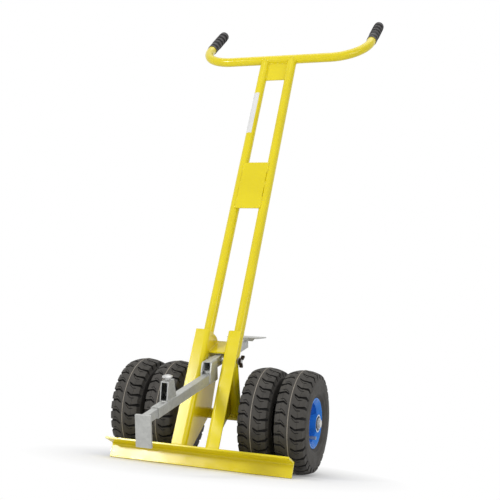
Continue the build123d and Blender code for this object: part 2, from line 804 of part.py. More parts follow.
def wheel_nodes():
    """Four wheels: the outer ones with valves outwards, the inner ones with valves towards the frame."""
    places = {"left_outer": (-outer_wheel_x, 180), "left_inner": (-inner_wheel_x, 0),
              "right_inner": (inner_wheel_x, 180), "right_outer": (outer_wheel_x, 0)}
    nodes = {}
    pieces = wheel_pieces()
    for wheel, (x, turn) in places.items():
        for name, piece in pieces.items():
            nodes[wheel + "_" + name] = Pos(x, 0, tyre_radius) * Rot(0, 0, turn) * piece
    return nodes


def main():
    os.makedirs("parts", exist_ok=True)
    nodes = frame_nodes() | clamp_nodes() | wheel_nodes()
    boxes = [piece.bounding_box() for piece in nodes.values()]
    front = min(box.min.Y for box in boxes)
    back = max(box.max.Y for box in boxes)
    centre = Pos(0, -(front + back) / 2, 0)
    print("lean", round(lean, 3), "moved back by", round(-(front + back) / 2, 4))
    for name, piece in nodes.items():
        export_step(centre * piece, "parts/" + name + ".step")


main()
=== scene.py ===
"""Dresses the slab transport trolley: paint, zinc, rubber, tyre treads, weld beads and a studio stage."""

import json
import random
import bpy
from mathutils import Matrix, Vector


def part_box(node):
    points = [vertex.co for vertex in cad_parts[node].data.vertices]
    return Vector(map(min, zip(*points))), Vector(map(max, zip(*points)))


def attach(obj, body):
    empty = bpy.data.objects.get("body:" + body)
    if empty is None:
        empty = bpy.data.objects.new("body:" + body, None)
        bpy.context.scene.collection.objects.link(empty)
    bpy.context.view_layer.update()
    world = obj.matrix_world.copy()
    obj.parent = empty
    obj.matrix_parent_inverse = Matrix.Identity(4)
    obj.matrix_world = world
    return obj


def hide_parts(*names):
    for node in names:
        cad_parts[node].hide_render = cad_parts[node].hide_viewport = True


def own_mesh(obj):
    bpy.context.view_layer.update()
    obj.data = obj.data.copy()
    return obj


bl_info = {
    "name": "Slab transport trolley",
    "version": (1, 0, 0),
    "blender": (4, 5, 0),
    "location": "View3D > Sidebar > Trolley",
    "description": "Paint, galvanising, tyre treads, weld beads and a stage for the trolley's solids",
    "category": "Object",
}

from collections import namedtuple
from math import atan2, cos, hypot, pi, radians, sin, sqrt

import bmesh
import bpy
from bpy.props import FloatProperty, FloatVectorProperty, IntProperty, PointerProperty
from mathutils import Matrix, Vector

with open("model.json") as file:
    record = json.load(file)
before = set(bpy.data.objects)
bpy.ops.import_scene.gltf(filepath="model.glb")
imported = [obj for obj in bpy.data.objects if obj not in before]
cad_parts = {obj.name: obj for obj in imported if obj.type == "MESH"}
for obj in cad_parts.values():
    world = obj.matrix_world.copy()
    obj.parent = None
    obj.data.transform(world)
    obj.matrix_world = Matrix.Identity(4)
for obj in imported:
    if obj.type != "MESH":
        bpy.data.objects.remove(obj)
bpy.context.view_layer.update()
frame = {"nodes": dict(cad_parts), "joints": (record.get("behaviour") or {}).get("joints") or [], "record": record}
joints = {joint["name"]: joint for joint in frame["joints"]}
mounts = {mount["name"]: mount for mount in frame["record"]["mounts"]}
slot_of = {part["node"]: part["material_slot"] for part in frame["record"]["subparts"]}

# The frame leans back from upright as a leg's face does, and the clamp slopes from level as its lock does.
leg_facing = Vector(mounts["left_leg_face"]["axis"])
clamp_up = Vector(joints["lock_lift"]["axis"])
frame_lean = atan2(leg_facing.z, -leg_facing.y)
arm_slope = atan2(-clamp_up.y, clamp_up.z)
axle = Vector(joints["right_inner_spin"]["pos_m"])
axle.x = 0.0
pivot = Vector(joints["clamp_pivot"]["pos_m"])
upright = Matrix.Translation(axle) @ Matrix.Rotation(-frame_lean, 4, "X")
level = Matrix.Translation(pivot) @ Matrix.Rotation(arm_slope, 4, "X")

# Where the gap between two twin tyres lies, and half the way between their middles, in metres; the rims
# get painted shade in that gap.
inner_wheel_x = joints["right_inner_spin"]["pos_m"][0]
outer_wheel_x = joints["right_outer_spin"]["pos_m"][0]
twin_middle = (inner_wheel_x + outer_wheel_x) / 2
twin_reach = (outer_wheel_x - inner_wheel_x) / 2

# The next sizes, down to the lock's, are in millimetres and follow the solids. The frame is taken upright,
# from the axle, and the clamp level, from the pivot, with its arm along -Y.

# How far a weld bead stops short of an edge
bead_short = 1.0

# Stems, plates, handlebar and grips
tube_radius = 13.45
axle_tube_radius = 13.45
stem_x = 42.5
stem_y = -91.8
stem_bend_z = 108.0
handle_z = 1078.5
top_plate_low = 1003.1
middle_plate_low = 556.0
middle_plate_high = 704.0
middle_plate_edge = 36.5
grip_mouth = 113.0
grip_rake = radians(29.3)

# Label, with the angles that it spans round the left stem from straight ahead
label_low = 808.0
label_high = 950.0
label_thick = 0.15
label_start = radians(-110)
label_end = radians(28)

# Legs, toe and cross plate
leg_front = -128.7
leg_inner = 25.0
leg_outer = 29.0
leg_edge = 62.5
leg_bend = 10.5
leg_foot = -89.2
shelf_z = -120.0
cross_plate_low = (-105.6, 132.7)
cross_plate_high = (-55.5, 180.3)

# Lever, pedal, cheeks, arms and jaw; a bar is the lever's or the outer arm's tube
bar_x = 10.0
bar_z = 12.5
pedal_front = 171.5
pedal_sheet = 3.0
cheek_front = -83.0
cheek_back = -38.0
cheek_high = 10.0
cheek_low = -40.0
arm_middle = -30.0
arm_top = arm_middle + bar_z
inner_arm_x = 7.7
inner_arm_z = 10.2
inner_arm_end = -417.0

# Lock and its spring
lock_x = 9.5
lock_y = -298.0
lock_half = 23.75
lock_room = 7.0
lock_high = 43.0

# The next sizes are in metres.

# Nearer to the axle than these, an inner tube is only its valve, and a rim is only its hub
valve_zone = 0.0515
hub_zone = 0.0226

# A tyre's section as half widths and radii: its outside, and its lining from the rim up to the crown
tyre_radius = 0.130
shoulder = (0.0378, 0.1205)
lip = (0.0370, 0.1125)
belly = (0.0420, 0.0940)
rim_seat = (0.03045, 0.06405)
lining = [(rim_seat[0], 0.06105), (0.02145, 0.05205), (0.02045, 0.05205), (0.02045, rim_seat[1]),
          (0.0320, 0.080), (0.0350, belly[1]), (0.0325, 0.107), (0.0285, 0.113), (0.0150, 0.1195),
          (0.0, 0.1215)]

# Lines across the tread beside the seam: the way from the seam, the shares of a groove's and of a sipe's
# depth, and the rise as a share of the seam's height. A fine cut runs round the tread across the sipes.
tread_profile = [
    (0.0045, 0, 0, 0), (0.0064, 0, 0, 0), (0.0070, 0.7, 0, 0), (0.0080, 1, 0, 0),
    (0.0095, 1, 0.7, 0), (0.0115, 1, 1, 0), (0.0145, 1, 1, 0), (0.0180, 1, 1, 0),
    (0.0214, 1, 1, 0), (0.0218, 1, 1, -0.9), (0.0224, 1, 1, -0.9), (0.0228, 1, 0.8, 0),
    (0.0270, 1, 0.4, 0), (0.0285, 1, 0, 0), (0.0330, 1, 0, 0), (0.0372, 1, 0, 0)]

# Lines from the tread's edge to the lip: the share of that way, and the share of a groove's depth
shoulder_profile = [(0.1, 1), (0.55, 0.75), (0.9, 0.3)]
shoulder_facing = (0.8, 0.6)

# Lines down the wall: the step on the way from the lip to the rim, and the height of the ring there
wall_steps = 40
wall_profile = {3: 0.0, 4: 0.0006, 6: 0.0006, 7: 0.0, 13: 0.0, 20: 0.0, 22: 0.0, 23: 0.0005, 24: 0.0, 30: 0.0,
                31: 0.0007, 33: 0.0007, 34: 0.0, 37: 0.0, 40: 0.0}

# The tread's pattern: how far a groove falls and then climbs, and a sipe's way from its groove. A span is the
# stretch, from the seam, over which one of these or the groove's width changes. Cuts that are deeper than the
# shaded depth are painted with shade.
groove_fall, fall_span = 0.0064, (0.0070, 0.0175)
groove_climb, climb_span = 0.0022, (0.018, 0.035)
sipe_near, sipe_spread, sipe_span = 0.0022, 0.0034, (0.010, 0.018)
mouth_span = (0.026, 0.036)
groove_wall = 0.0005
shaded_depth = 0.001

# How far each tyre has rolled from having a groove straight ahead, in degrees
tread_turns = {"left_outer": 3.95, "left_inner": 7.0, "right_inner": 1.65, "right_outer": 6.95}

# A finish in the making: its material, nodes and shader, and the coordinates of the piece that carries it.
Finish = namedtuple("Finish", "material tree shader place")

# A run of weld bead: its points in millimetres, its share of the bead's radius, and whether it is closed.
Run = namedtuple("Run", "points share closed", defaults=(False,))

# A line round a tyre: its place and outward direction, how far across the tread it lies, its shares of a
# groove's and of a sipe's depth, and its rise.
Line = namedtuple("Line", "x radius nx nr across groove sipe rise")


def size(name, description, default):
    """A length that a user can change."""
    return FloatProperty(name=name, description=description, default=default, min=0.0, precision=5,
                         unit="LENGTH", subtype="DISTANCE")


def colour(name, description, default):
    """A colour that a user can change."""
    return FloatVectorProperty(name=name, description=description, default=default, size=3,
                               min=0.0, max=1.0, subtype="COLOR")


def power(name, description, default):
    """A lamp's power that a user can change."""
    return FloatProperty(name=name, description=description, default=default, min=0.0, unit="POWER")


def angle(name, description, default):
    """A turn that a user can change."""
    return FloatProperty(name=name, description=description, default=default,
                         unit="ROTATION", subtype="ANGLE")


class TrolleyColours(bpy.types.PropertyGroup):
    """Colours of the paint, metal and rubber."""
    yellow: colour("Yellow paint", "Powder coat on the frame", (0.76, 0.63, 0.007))
    yellow_shade: colour("Yellow paint, thin", "Powder coat where it is thinner", (0.71, 0.58, 0.005))
    blue: colour("Blue paint", "Gloss paint on the rims", (0.030, 0.22, 0.72))
    # The rims' near black between twin tyres is painted shade, standing in for the shade of the narrow gap there.
    rim_twin_shade: colour("Rim dirt", "Road dirt on the rims between twin tyres", (0.012, 0.012, 0.014))
    hub_edge: colour("Hub edge", "Bare steel edge of each hub", (0.42, 0.49, 0.58))
    valve: colour("Valve", "Nickel of the tyre valves", (0.34, 0.40, 0.48))
    zinc: colour("Zinc", "Plated bolts, washers and axle", (0.58, 0.58, 0.57))
    galvanised: colour("Galvanising, light", "Light crystals of the clamp's zinc", (0.47, 0.475, 0.455))
    galvanised_dark: colour("Galvanising, dark", "Dark crystals of the clamp's zinc", (0.40, 0.405, 0.39))
    # The lock's inside colour is painted shade: a near black inside the lock's box, standing in for the shade
    # there.
    lock_inside_shade: colour("Lock, inside", "Dull steel inside the lock's box", (0.050, 0.054, 0.052))
    dark_steel: colour("Dark steel", "The wing nut's blackened steel", (0.050, 0.036, 0.028))
    # The bearing colour is a very dark steel for the bearings and the lock's spring.
    bearing: colour("Bearing", "Greased steel of the bearings and the spring", (0.030, 0.030, 0.032))
    tyre: colour("Tyre", "Tyre rubber", (0.042, 0.039, 0.035))
    tyre_dust: colour("Tyre dust", "Dry, dusty tyre rubber", (0.064, 0.059, 0.052))
    # The groove colour is painted shade: a near black in the tread's grooves, standing in for the shade down in
    # them.
    groove: colour("Groove", "Clean rubber inside the tread's grooves", (0.014, 0.013, 0.012))
    # The seam's pale grey is a painted highlight, standing in for the light along the seam's ridge.
    seam: colour("Tyre seam", "The bare mould seam round each tyre", (0.30, 0.27, 0.23))
    label: colour("Label", "The blank label on the left stem", (0.72, 0.72, 0.71))
    tube_rubber: colour("Tube rubber", "Rubber of the inner tubes", (0.016, 0.0155, 0.016))
    grip: colour("Grip", "Hand grip rubber", (0.009, 0.0088, 0.009))
    # The pale grip colour is painted highlight: its bands round the grips stand in for light on the ribs' crests.
    grip_highlight: colour("Grip, worn", "Hand grip rubber that is worn pale", (0.115, 0.110, 0.112))
    floor: colour("Floor", "Pale studio floor", (0.93, 0.93, 0.93))


class TrolleySizes(bpy.types.PropertyGroup):
    """Sizes of the treads, the welds and the rounded edges."""
    tread_pitches: IntProperty(name="Tread pitches", description="Blocks round one half of a tyre",
                               default=30, min=8, max=60)
    groove_width: size("Groove width", "Width of a tread groove", 0.0052)
    groove_mouth: size("Groove mouth", "Width of a tread groove where it leaves the shoulder", 0.0080)
    groove_depth: size("Groove depth", "Depth of a tread groove", 0.0060)
    sipe_width: size("Sipe width", "Width of the thin cut beside a groove", 0.0020)
    sipe_depth: size("Sipe depth", "Depth of the thin cut beside a groove", 0.0030)
    seam_width: size("Seam width", "Width of the mould seam", 0.0022)
    seam_height: size("Seam height", "Height of the mould seam", 0.0007)
    bead_radius: size("Weld bead", "Radius of a weld bead", 0.0021)
    ripple: size("Weld ripple", "Length of one ripple of a weld bead", 0.0026)
    plate_edge: size("Plate edge", "Rounding on the edges of cut plate", 0.0008)
    sheet_edge: size("Fine edge", "Rounding on the edges of tubes and fasteners", 0.0004)


class TrolleyStage(bpy.types.PropertyGroup):
    """Camera and light."""
    camera_place: FloatVectorProperty(
        name="Camera place", description="Where the camera stands, from the axle",
        default=(0.8405, -2.13945, 0.06135), size=3, unit="LENGTH", subtype="XYZ")
    lens: FloatProperty(name="Lens", description="Focal length in millimetres", default=62.37, unit="CAMERA")
    heading: angle("Heading", "Turn of the camera about the vertical", radians(20.52))
    tilt: angle("Tilt", "How far the camera looks up", radians(9.31))
    roll: angle("Roll", "Turn of the camera about its view", radians(5.04))
    surround: FloatProperty(name="Surround light", description="Even light from all round", default=0.42,
                            min=0.0)
    key_power: power("Key light", "Power of the soft light at the front left", 45.0)
    fill_power: power("Fill light", "Power of the soft light at the front right", 20.0)
    top_power: power("Top light", "Power of the soft light overhead", 22.0)


def at_rest(place, point):
    """Where a point of the upright frame or the level clamp, in millimetres, lies at rest, in metres."""
    return place @ (Vector(point) / 1000.0)


def shaded(tint, share):
    """A colour with each channel times a share."""
    return [share * channel for channel in tint]


# Finishes

def new_finish(name, specular=0.5, metallic=0.0):
    """A new finish, with the levels that are the same all over."""
    material = bpy.data.materials.new(name)
    material.use_nodes = True
    tree = material.node_tree
    shader = tree.nodes["Principled BSDF"]
    shader.inputs["Specular IOR Level"].default_value = specular
    shader.inputs["Metallic"].default_value = metallic
    return Finish(material, tree, shader, tree.nodes.new("ShaderNodeTexCoord"))


def feed(finish, name, value):
    """Lets a node's result set one input of the shader."""
    finish.tree.links.new(value, finish.shader.inputs[name])


def reckon(tree, operation, first, second=0.0):
    """One sum of two sockets or numbers."""
    node = tree.nodes.new("ShaderNodeMath")
    node.operation = operation
    for socket, value in zip(node.inputs, (first, second)):
        if isinstance(value, (int, float)):
            socket.default_value = value
        else:
            tree.links.new(value, socket)
    return node.outputs[0]


def distance(tree, value, middle=0.0):
    """How far a value lies from a middle, to either side."""
    return reckon(tree, "ABSOLUTE", reckon(tree, "SUBTRACT", value, middle))


def spread(tree, factor, low, high, start=0.3, end=0.7):
    """A number that goes from low to high while a factor goes from start to end."""
    node = tree.nodes.new("ShaderNodeMapRange")
    node.inputs["From Min"].default_value = start
    node.inputs["From Max"].default_value = end
    node.inputs["To Min"].default_value = low
    node.inputs["To Max"].default_value = high
    tree.links.new(factor, node.inputs["Value"])
    return node.outputs["Result"]


def tones(tree, factor, dark, light, low=0.35, high=0.65):
    """A colour that goes from dark to light while a factor goes from low to high."""
    ramp = tree.nodes.new("ShaderNodeValToRGB")
    first, last = ramp.color_ramp.elements
    first.position, last.position = low, high
    first.color, last.color = (*dark, 1.0), (*light, 1.0)
    tree.links.new(factor, ramp.inputs["Fac"])
    return ramp.outputs["Color"]


def covered(tree, factor, under, over):
    """A node's colour, with another over it where a factor is one."""
    node = tree.nodes.new("ShaderNodeMix")
    node.data_type = "RGBA"
    tree.links.new(factor, node.inputs["Factor"])
    tree.links.new(under, node.inputs["A"])
    node.inputs["B"].default_value = (*over, 1.0)
    return node.outputs["Result"]


def noise(finish, scale, detail=2.0):
    """Cloudy noise over a piece; scale is in clouds a metre."""
    node = finish.tree.nodes.new("ShaderNodeTexNoise")
    node.inputs["Scale"].default_value = scale
    node.inputs["Detail"].default_value = detail
    finish.tree.links.new(finish.place.outputs["Object"], node.inputs["Vector"])
    return node.outputs["Fac"]


def mottled(finish, dark, light, scale, detail, low=0.35, high=0.65):
    """Two colours in clouds over a piece."""
    return tones(finish.tree, noise(finish, scale, detail), dark, light, low, high)


def gloss(finish, scale, low, high):
    """Roughness that varies in clouds over a piece."""
    feed(finish, "Roughness", spread(finish.tree, noise(finish, scale), low, high))


def grain(finish, scale, detail, height, strength):
    """Fine relief; its height is in metres."""
    node = finish.tree.nodes.new("ShaderNodeBump")
    node.inputs["Strength"].default_value = strength
    node.inputs["Distance"].default_value = height
    finish.tree.links.new(noise(finish, scale, detail), node.inputs["Height"])
    feed(finish, "Normal", node.outputs["Normal"])


def parts_of(finish, output):
    """The X, Y and Z of a piece's own coordinates or of its normals."""
    node = finish.tree.nodes.new("ShaderNodeSeparateXYZ")
    finish.tree.links.new(finish.place.outputs[output], node.inputs["Vector"])
    return node.outputs


def way_along(finish, direction):
    """How far a spot lies along a direction, in metres from the origin."""
    node = finish.tree.nodes.new("ShaderNodeVectorMath")
    node.operation = "DOT_PRODUCT"
    node.inputs[1].default_value = direction
    finish.tree.links.new(finish.place.outputs["Object"], node.inputs[0])
    return node.outputs["Value"]


def within_radius(finish, radius):
    """One for what lies nearer to the axle than a radius, and nought for the rest of a wheel."""
    tree, spot = finish.tree, parts_of(finish, "Object")
    ways = [reckon(tree, "SUBTRACT", spot["Y"], axle.y), reckon(tree, "SUBTRACT", spot["Z"], axle.z)]
    squares = [reckon(tree, "MULTIPLY", way, way) for way in ways]
    return reckon(tree, "LESS_THAN", reckon(tree, "ADD", *squares), radius * radius)


def inside_lock(finish):
    """One for what lies inside the lock's box, where shade is painted, and nought for the rest of it."""
    side_room, end_wall = 0.1, 2.0
    tree = finish.tree
    middle = clamp_up.dot(pivot) + (arm_top + lock_high / 2) / 1000.0
    above = distance(tree, way_along(finish, clamp_up), middle)
    aside = distance(tree, parts_of(finish, "Object")["X"])
    between_sides = reckon(tree, "LESS_THAN", aside, (lock_room + side_room) / 1000.0)
    between_ends = reckon(tree, "LESS_THAN", above, (lock_high / 2 - end_wall) / 1000.0)
    return reckon(tree, "MULTIPLY", between_sides, between_ends)


def paint_finish(name, light, dark, roughness):
    """Gloss powder coat: a little uneven in colour, with a fine orange peel."""
    finish = new_finish(name, specular=0.38)
    feed(finish, "Base Color", mottled(finish, dark, light, scale=11.0, detail=3.0))
    gloss(finish, scale=38.0, low=roughness - 0.05, high=roughness + 0.06)
    grain(finish, scale=420.0, detail=1.0, height=0.00012, strength=0.5)
    return finish.material


def zinc_finish(name, light, shade, roughness):
    """Bright plating with faint brushing; shade is the dark tone's share of the light one."""
    finish = new_finish(name, metallic=0.5)
    feed(finish, "Base Color", mottled(finish, shaded(light, shade), light, scale=160.0, detail=3.0))
    gloss(finish, scale=300.0, low=roughness - 0.06, high=roughness + 0.08)
    grain(finish, scale=900.0, detail=1.0, height=0.00005, strength=0.4)
    return finish.material


def galvanised_finish(name, light, dark, inside=None):
    """Hot dipped zinc: dull crystals a few millimetres across, under a cloudy film. With a colour for the inside,
    it paints that colour as shade inside the lock's box."""
    crystal_share = 0.45
    finish = new_finish(name, metallic=0.55)
    tree = finish.tree
    crystals = tree.nodes.new("ShaderNodeTexVoronoi")
    crystals.inputs["Scale"].default_value = 170.0
    tree.links.new(finish.place.outputs["Object"], crystals.inputs["Vector"])
    single = tree.nodes.new("ShaderNodeSeparateColor")
    tree.links.new(crystals.outputs["Color"], single.inputs["Color"])
    crystal = reckon(tree, "MULTIPLY", single.outputs["Red"], crystal_share)
    film = reckon(tree, "MULTIPLY", noise(finish, scale=26.0, detail=4.0), 1.0 - crystal_share)
    zinc = tones(tree, reckon(tree, "ADD", crystal, film), dark, light, low=0.25, high=0.72)
    feed(finish, "Base Color", covered(tree, inside_lock(finish), zinc, inside) if inside else zinc)
    feed(finish, "Roughness", spread(tree, single.outputs["Green"], low=0.42, high=0.58, start=0.0, end=1.0))
    grain(finish, scale=260.0, detail=3.0, height=0.00025, strength=0.35)
    return finish.material


def rubber_finish(name, dark, light, roughness):
    """Moulded tyre rubber: dry, dusty in places, with a fine grain."""
    finish = new_finish(name, specular=0.35)
    feed(finish, "Base Color", mottled(finish, dark, light, scale=34.0, detail=4.0, low=0.3, high=0.75))
    gloss(finish, scale=60.0, low=roughness - 0.06, high=roughness + 0.08)
    grain(finish, scale=900.0, detail=2.0, height=0.0003, strength=0.4)
    return finish.material


def grip_finish(name, dark, highlight_tone):
    """Moulded rubber with pale bands round the grips, which are painted highlights, over random patches of tone.
    Bands are in metres from the grip's mouth.
    """
    first_band, band_pitch = 0.0235, 0.022
    band_share, patch_share = 0.5, 0.8
    finish = new_finish(name, specular=0.12)
    tree = finish.tree
    along = upright.to_3x3() @ Vector((0.0, sin(grip_rake), cos(grip_rake)))
    mouth = along.dot(at_rest(upright, (0.0, stem_y, handle_z))) + grip_mouth / 1000.0
    # Painted highlights: pale bands standing in for light on ribs coarser than the solid's, plus random patches.
    beyond = reckon(tree, "SUBTRACT", way_along(finish, along), mouth + first_band)
    wave = reckon(tree, "COSINE", reckon(tree, "MULTIPLY", beyond, 2 * pi / band_pitch))
    patches = reckon(tree, "MULTIPLY", noise(finish, scale=110.0, detail=3.0), patch_share)
    highlight_and_patches = reckon(tree, "ADD", reckon(tree, "MULTIPLY", wave, band_share), patches)
    feed(finish, "Base Color", tones(tree, highlight_and_patches, dark, highlight_tone, low=0.1, high=0.95))
    gloss(finish, scale=60.0, low=0.5, high=0.65)
    grain(finish, scale=1200.0, detail=2.0, height=0.0003, strength=0.4)
    return finish.material


def valve_finish(name, rubber, metal):
    """Tube rubber, with nickel on the valve, which lies inside the rim's seat."""
    dust, metallic = 1.8, 0.6
    finish = new_finish(name)
    valve = within_radius(finish, valve_zone)
    dusty = mottled(finish, rubber, shaded(rubber, dust), scale=34.0, detail=4.0)
    feed(finish, "Base Color", covered(finish.tree, valve, dusty, metal))
    feed(finish, "Metallic", reckon(finish.tree, "MULTIPLY", valve, metallic))
    gloss(finish, scale=120.0, low=0.34, high=0.5)
    grain(finish, scale=700.0, detail=2.0, height=0.0002, strength=0.3)
    return finish.material


def rim_finish(name, paint, bare, twin_shade):
    """Gloss paint, with a bare steel edge on each end of the hub and painted shade on the sides between twin
    tyres.
    """
    shade, flat_facing, metallic = 0.9, 0.9, 0.85
    finish = new_finish(name, specular=0.22)
    tree = finish.tree
    facing = distance(tree, parts_of(finish, "Normal")["X"])
    flat = reckon(tree, "GREATER_THAN", facing, flat_facing)
    edge = reckon(tree, "MULTIPLY", flat, within_radius(finish, hub_zone))
    # Between twin tyres the paint turns near black: painted shade of the narrow gap.
    aside = distance(tree, parts_of(finish, "Object")["X"])
    between = reckon(tree, "LESS_THAN", distance(tree, aside, twin_middle), twin_reach)
    painted = mottled(finish, shaded(paint, shade), paint, scale=40.0, detail=2.0)
    edged = covered(tree, edge, painted, bare)
    feed(finish, "Base Color", covered(tree, between, edged, twin_shade))
    feed(finish, "Metallic", reckon(tree, "MULTIPLY", edge, metallic))
    gloss(finish, scale=60.0, low=0.22, high=0.34)
    grain(finish, scale=380.0, detail=1.0, height=0.00012, strength=0.4)
    return finish.material


# Solids and pieces

def nodes_with(slot):
    """The solids that take their finish from a slot."""
    return [name for name in frame["nodes"] if slot_of[name] == slot]


def dress(name, material, edge=0.0):
    """Gives a solid its finish and, where it has cut edges, rounds them a little."""
    solid = frame["nodes"][name]
    if not solid.material_slots:
        solid.data.materials.append(material)
    for place in solid.material_slots:
        place.material = material
    if edge:
        joined = solid.modifiers.new("joined corners", "WELD")
        joined.merge_threshold = 0.000002
        whole = solid.modifiers.new("whole faces", "DECIMATE")
        whole.decimate_type = "DISSOLVE"
        whole.angle_limit = radians(0.4)
        rounded = solid.modifiers.new("rounded edges", "BEVEL")
        rounded.width = edge
        rounded.segments = 2
        rounded.limit_method = "ANGLE"
        rounded.angle_limit = radians(35)
        rounded.harden_normals = True


def dress_all(slot, material, edge=0.0):
    """Gives one finish to all the solids of a slot."""
    for name in nodes_with(slot):
        dress(name, material, edge)


def new_object(name, data):
    """An object in the scene."""
    item = bpy.data.objects.new(name, data)
    bpy.context.scene.collection.objects.link(item)
    return item


def new_piece(name, mesh, finishes, body, place=(0.0, 0.0, 0.0)):
    """A piece of the scene that moves with a body."""
    for finish in finishes:
        mesh.materials.append(finish)
    piece = new_object(name, mesh)
    piece.location = place
    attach(piece, body)
    return piece


# Weld beads

def spaced(points, step, closed):
    """Points about a step apart along a run of short straight pieces."""
    run = [Vector(point) for point in points]
    if closed:
        run.append(run[0])
    lengths = [(after - before).length for before, after in zip(run, run[1:])]
    count = max(3, round(sum(lengths) / step))
    spots = []
    piece, start = 0, 0.0
    for i in range(count if closed else count + 1):
        along = sum(lengths) * i / count
        while piece < len(lengths) - 1 and along > start + lengths[piece]:
            start += lengths[piece]
            piece += 1
        done = min(1.0, (along - start) / lengths[piece]) if lengths[piece] else 0.0
        spots.append(run[piece].lerp(run[piece + 1], done))
    return spots


def add_bead(build, points, radius, ripple, chance, closed):
    """A weld bead along some points. Its ripples swell by chance and dip at their middles, and open ends
    taper."""
    sides, beats = 10, 4
    least_swell, most_swell = 0.93, 1.05
    dip, taper = 0.16, 0.9
    run = spaced(points, ripple / beats, closed)
    count = len(run)
    across = None
    rings = []
    for i, point in enumerate(run):
        after = run[(i + 1) % count] if closed or i + 1 < count else point
        before = run[i - 1] if closed or i else point
        along = (after - before).normalized()
        across = along.orthogonal() if across is None else across - along * across.dot(along)
        across.normalize()
        over = along.cross(across)
        if i % beats == 0:
            swell = chance.uniform(least_swell, most_swell)
        reach = radius * swell * (1.0 - dip + dip * abs(cos(pi * i / beats)))
        if not closed:
            from_end = min(1.0, min(i, count - 1 - i) / beats)
            reach *= sqrt(1.0 - (1.0 - from_end) ** 2 * taper)
        rings.append([build.verts.new(point + (across * cos(turn) + over * sin(turn)) * reach)
                      for turn in (2 * pi * k / sides for k in range(sides))])
    pairs = list(zip(rings, rings[1:])) + ([(rings[-1], rings[0])] if closed else [])
    for first, last in pairs:
        for k in range(sides):
            following = (k + 1) % sides
            build.faces.new((first[k], first[following], last[following], last[k]))
    if not closed:
        build.faces.new(tuple(reversed(rings[0])))
        build.faces.new(tuple(rings[-1]))


def weld_piece(name, runs, place, sizes, material, body):
    """All the beads of one body as one piece."""
    build = bmesh.new()
    chance = random.Random(len(runs))
    for run in runs:
        path = [at_rest(place, point) for point in run.points]
        add_bead(build, path, sizes.bead_radius * run.share, sizes.ripple, chance, run.closed)
    mesh = bpy.data.meshes.new(name)
    bmesh.ops.recalc_face_normals(build, faces=build.faces)
    build.to_mesh(mesh)
    build.free()
    mesh.shade_smooth()
    new_piece(name, mesh, [material], body)


def ring_points(spot, count=48):
    """Points of a closed curve."""
    return [spot(2 * pi * k / count) for k in range(count)]


def stem_weld_runs(side):
    """Beads round both ends of a stem, and between it and the plates across the stems. A stitch is its start
    and end as shares of the middle plate's height, and its share of the bead's radius."""
    top_plate_reach = 2.4
    middle_x, middle_y = side * (middle_plate_edge + 0.4), stem_y - 12.8
    middle_stitches = ((0.0, 0.25, 0.95), (0.44, 0.58, 0.95), (0.78, 1.01, 1.2))
    x = side * stem_x
    down = Vector((0.0, -stem_y, -stem_bend_z)).normalized()
    out = Vector((0.0, -down.z, down.y))

    def under_handlebar(turn):
        return (x + tube_radius * cos(turn), stem_y + tube_radius * sin(turn),
                handle_z - tube_radius * abs(cos(turn)))

    def over_axle_tube(turn):
        aside = tube_radius * sin(turn)
        seat = sqrt(axle_tube_radius ** 2 - aside ** 2)
        return Vector((x + tube_radius * cos(turn), 0.0, 0.0)) + out * aside - down * seat

    runs = [Run(ring_points(under_handlebar), 1.0, closed=True),
            Run(ring_points(over_axle_tube), 1.05, closed=True)]
    inner = side * (stem_x - tube_radius)
    for y in (stem_y - top_plate_reach, stem_y + top_plate_reach):
        runs.append(Run([(inner, y, top_plate_low + bead_short), (inner, y, handle_z - tube_radius)], 0.8))
    for start, end, share in middle_stitches:
        low = middle_plate_low + start * (middle_plate_high - middle_plate_low)
        high = middle_plate_low + end * (middle_plate_high - middle_plate_low)
        runs.append(Run([(middle_x, middle_y, low), (middle_x, middle_y, high)], share))
    return runs


def leg_weld_runs(side):
    """Beads between a leg and the toe, the axle tube, the stem and the cross plate."""
    toe_y, toe_z = leg_front - 0.3, shelf_z + 0.3
    web_front, web_back = leg_front + leg_bend + bead_short, leg_foot - 2 * bead_short
    axle_arc = [radians(180 + turn) for turn in range(-28, 9, 4)]
    stem_seam_x, stem_seam_reach, stem_seam_low, stem_seam_high = side * 30.0, 6.5, 136.0, 182.0
    cross_plate_x = side * 24.6
    runs = [Run([(side * (leg_inner + leg_bend), toe_y, toe_z), (side * leg_edge, toe_y, toe_z)], 0.9)]
    for face in (side * leg_outer, side * leg_inner):
        runs.append(Run([(face, web_front, shelf_z), (face, web_back, shelf_z)], 0.85))
        runs.append(Run([(face, axle_tube_radius * cos(turn), axle_tube_radius * sin(turn))
                         for turn in axle_arc], 0.9))
    for y in (stem_y - stem_seam_reach, stem_y + stem_seam_reach):
        runs.append(Run([(stem_seam_x, y, stem_seam_low), (stem_seam_x, y, stem_seam_high)], 1.1))
    runs.append(Run([(cross_plate_x, *cross_plate_low), (cross_plate_x, *cross_plate_high)], 0.8))
    return runs


def frame_weld_runs():
    """The frame's beads, with the axle at the origin and the legs upright."""
    top_plate_reach = 2.5
    runs = []
    for side in (-1, 1):
        runs += stem_weld_runs(side) + leg_weld_runs(side)
    end, seam = stem_x - tube_radius, handle_z - tube_radius
    for y in (stem_y - top_plate_reach, stem_y + top_plate_reach):
        runs.append(Run([(-end, y, seam), (end, y, seam)], 0.8))
    return runs


